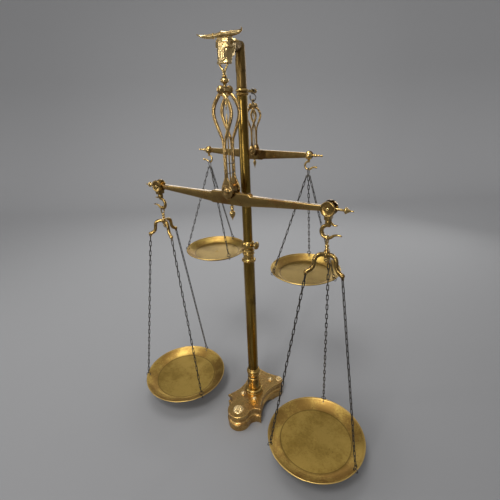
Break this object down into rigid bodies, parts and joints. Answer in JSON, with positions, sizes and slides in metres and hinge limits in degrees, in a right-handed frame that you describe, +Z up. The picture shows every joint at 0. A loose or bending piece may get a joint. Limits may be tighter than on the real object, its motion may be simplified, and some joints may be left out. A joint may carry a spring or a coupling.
{
  "type": "butcher's balance scale",
  "caption": "Free-standing equal-arm balance on a turned column with a bull's head, large chain-hung pans before it and a smaller balance behind.",
  "frame": {"origin": "centre of the column's axis where it meets the surface that the base stands on", "axes": "+Z up the column, +X to the right along the beams as seen from the bull's face, -Y towards the front, where the bull looks"},
  "size_m": [1, 0.4497, 1.4165],
  "materials": {
    "antique_brass": "aged",
    "polished_brass": "polished",
    "pan_brass": "brushed",
    "dark_steel": "aged",
    "steel": "satin"
  },
  "bodies": {
    "stand": {"base_plinth": "antique_brass", "base_cap": "antique_brass", "base_bolts": "polished_brass", "base_rosettes": "polished_brass", "foot_stud": "steel", "foot_flange": "antique_brass", "column_foot": "antique_brass", "foot_rings": "antique_brass", "lower_column": "antique_brass", "middle_joint": "antique_brass"},
    "lock_screw": {"lock_screw": "polished_brass"},
    "mast": {"upper_column": "antique_brass", "upper_collar": "antique_brass", "column_neck": "antique_brass", "bull_head": "polished_brass", "left_horn": "polished_brass", "right_horn": "polished_brass", "nose_pin": "steel", "rear_bracket": "antique_brass"},
    "front_suspension": {"front_bail": "polished_brass", "front_crossbar": "antique_brass", "front_pointer": "polished_brass", "front_frame_near": "polished_brass", "front_frame_far": "polished_brass", "front_spacers": "dark_steel"},
    "front_beam": {"front_beam": "polished_brass", "front_axle": "steel", "front_needle": "polished_brass", "front_end_pins": "polished_brass", "front_finials": "polished_brass", "front_pendant": "polished_brass"},
    "rear_suspension": {"rear_s_hook": "dark_steel", "rear_hanger": "polished_brass", "rear_crossbar": "antique_brass", "rear_frame_near": "polished_brass", "rear_frame_far": "polished_brass"},
    "rear_beam": {"rear_beam": "polished_brass", "rear_axle": "steel", "rear_needle": "polished_brass", "rear_end_pins": "polished_brass", "rear_finials": "polished_brass"},
    "front_left_hook": {"front_left_hook": "polished_brass"},
    "front_left_swivel": {"front_left_swivel": "polished_brass"},
    "front_left_pan_set": {"front_left_spider": "polished_brass", "front_left_chains": "dark_steel", "front_left_pan": "pan_brass"},
    "rear_left_hook": {"rear_left_hook": "polished_brass"},
    "rear_left_pan_set": {"rear_left_eye": "dark_steel", "rear_left_chains": "dark_steel", "rear_left_pan": "pan_brass"},
    "front_right_hook": {"front_right_hook": "polished_brass"},
    "front_right_swivel": {"front_right_swivel": "polished_brass"},
    "front_right_pan_set": {"front_right_spider": "polished_brass", "front_right_chains": "dark_steel", "front_right_pan": "pan_brass"},
    "rear_right_hook": {"rear_right_hook": "polished_brass"},
    "rear_right_pan_set": {"rear_right_eye": "dark_steel", "rear_right_chains": "dark_steel", "rear_right_pan": "pan_brass"}
  },
  "joints": [
    {"name": "lock_screw_turn", "type": "hinge", "parent": "stand", "child": "lock_screw", "pos_m": [0.0285, 0, 0.77], "axis": [1, 0, 0], "range_deg": [-720, 0]},
    {"name": "mast_turn", "type": "hinge", "parent": "stand", "child": "mast", "pos_m": [0, 0, 0.702], "axis": [0, 0, 1], "range_deg": [-180, 180]},
    {"name": "front_bail_swing", "type": "hinge", "parent": "mast", "child": "front_suspension", "pos_m": [0, -0.084, 1.346], "axis": [1, 0, 0], "range_deg": [-10, 0]},
    {"name": "front_beam_tilt", "type": "hinge", "parent": "front_suspension", "child": "front_beam", "pos_m": [0, -0.084, 0.987], "axis": [0, 1, 0], "range_deg": [-4, 4]},
    {"name": "rear_hanger_swing", "type": "hinge", "parent": "mast", "child": "rear_suspension", "pos_m": [0, 0.061, 1.266], "axis": [1, 0, 0], "range_deg": [0, 8]},
    {"name": "rear_beam_tilt", "type": "hinge", "parent": "rear_suspension", "child": "rear_beam", "pos_m": [0, 0.061, 1.084], "axis": [0, 1, 0], "range_deg": [-4, 4]},
    {"name": "front_left_hook_swing", "type": "hinge", "parent": "front_beam", "child": "front_left_hook", "pos_m": [-0.322, -0.084, 0.968], "axis": [0, 1, 0], "range_deg": [-4, 4]},
    {"name": "front_left_pan_swing", "type": "hinge", "parent": "front_left_hook", "child": "front_left_swivel", "pos_m": [-0.322, -0.084, 0.883], "axis": [1, 0, 0], "range_deg": [-10, 0.3]},
    {"name": "front_left_pan_turn", "type": "hinge", "parent": "front_left_swivel", "child": "front_left_pan_set", "pos_m": [-0.322, -0.084, 0.834], "axis": [0, 0, 1], "range_deg": [-15, 40]},
    {"name": "rear_left_hook_swing", "type": "hinge", "parent": "rear_beam", "child": "rear_left_hook", "pos_m": [-0.196, 0.061, 1.08], "axis": [0, 1, 0], "range_deg": [-4, 4]},
    {"name": "rear_left_pan_swing", "type": "hinge", "parent": "rear_left_hook", "child": "rear_left_pan_set", "pos_m": [-0.196, 0.061, 1.037], "axis": [1, 0, 0], "range_deg": [0, 10]},
    {"name": "front_right_hook_swing", "type": "hinge", "parent": "front_beam", "child": "front_right_hook", "pos_m": [0.322, -0.084, 0.968], "axis": [0, 1, 0], "range_deg": [-4, 4]},
    {"name": "front_right_pan_swing", "type": "hinge", "parent": "front_right_hook", "child": "front_right_swivel", "pos_m": [0.322, -0.084, 0.883], "axis": [1, 0, 0], "range_deg": [-10, 0.3]},
    {"name": "front_right_pan_turn", "type": "hinge", "parent": "front_right_swivel", "child": "front_right_pan_set", "pos_m": [0.322, -0.084, 0.834], "axis": [0, 0, 1], "range_deg": [-50, 0]},
    {"name": "rear_right_hook_swing", "type": "hinge", "parent": "rear_beam", "child": "rear_right_hook", "pos_m": [0.196, 0.061, 1.08], "axis": [0, 1, 0], "range_deg": [-4, 4]},
    {"name": "rear_right_pan_swing", "type": "hinge", "parent": "rear_right_hook", "child": "rear_right_pan_set", "pos_m": [0.196, 0.061, 1.037], "axis": [1, 0, 0], "range_deg": [0, 10]}
  ],
  "couplings": [
    {"joint": "front_left_hook_swing", "follows": "front_beam_tilt", "ratio": -1},
    {"joint": "rear_left_hook_swing", "follows": "rear_beam_tilt", "ratio": -1},
    {"joint": "front_right_hook_swing", "follows": "front_beam_tilt", "ratio": -1},
    {"joint": "rear_right_hook_swing", "follows": "rear_beam_tilt", "ratio": -1}
  ]
}
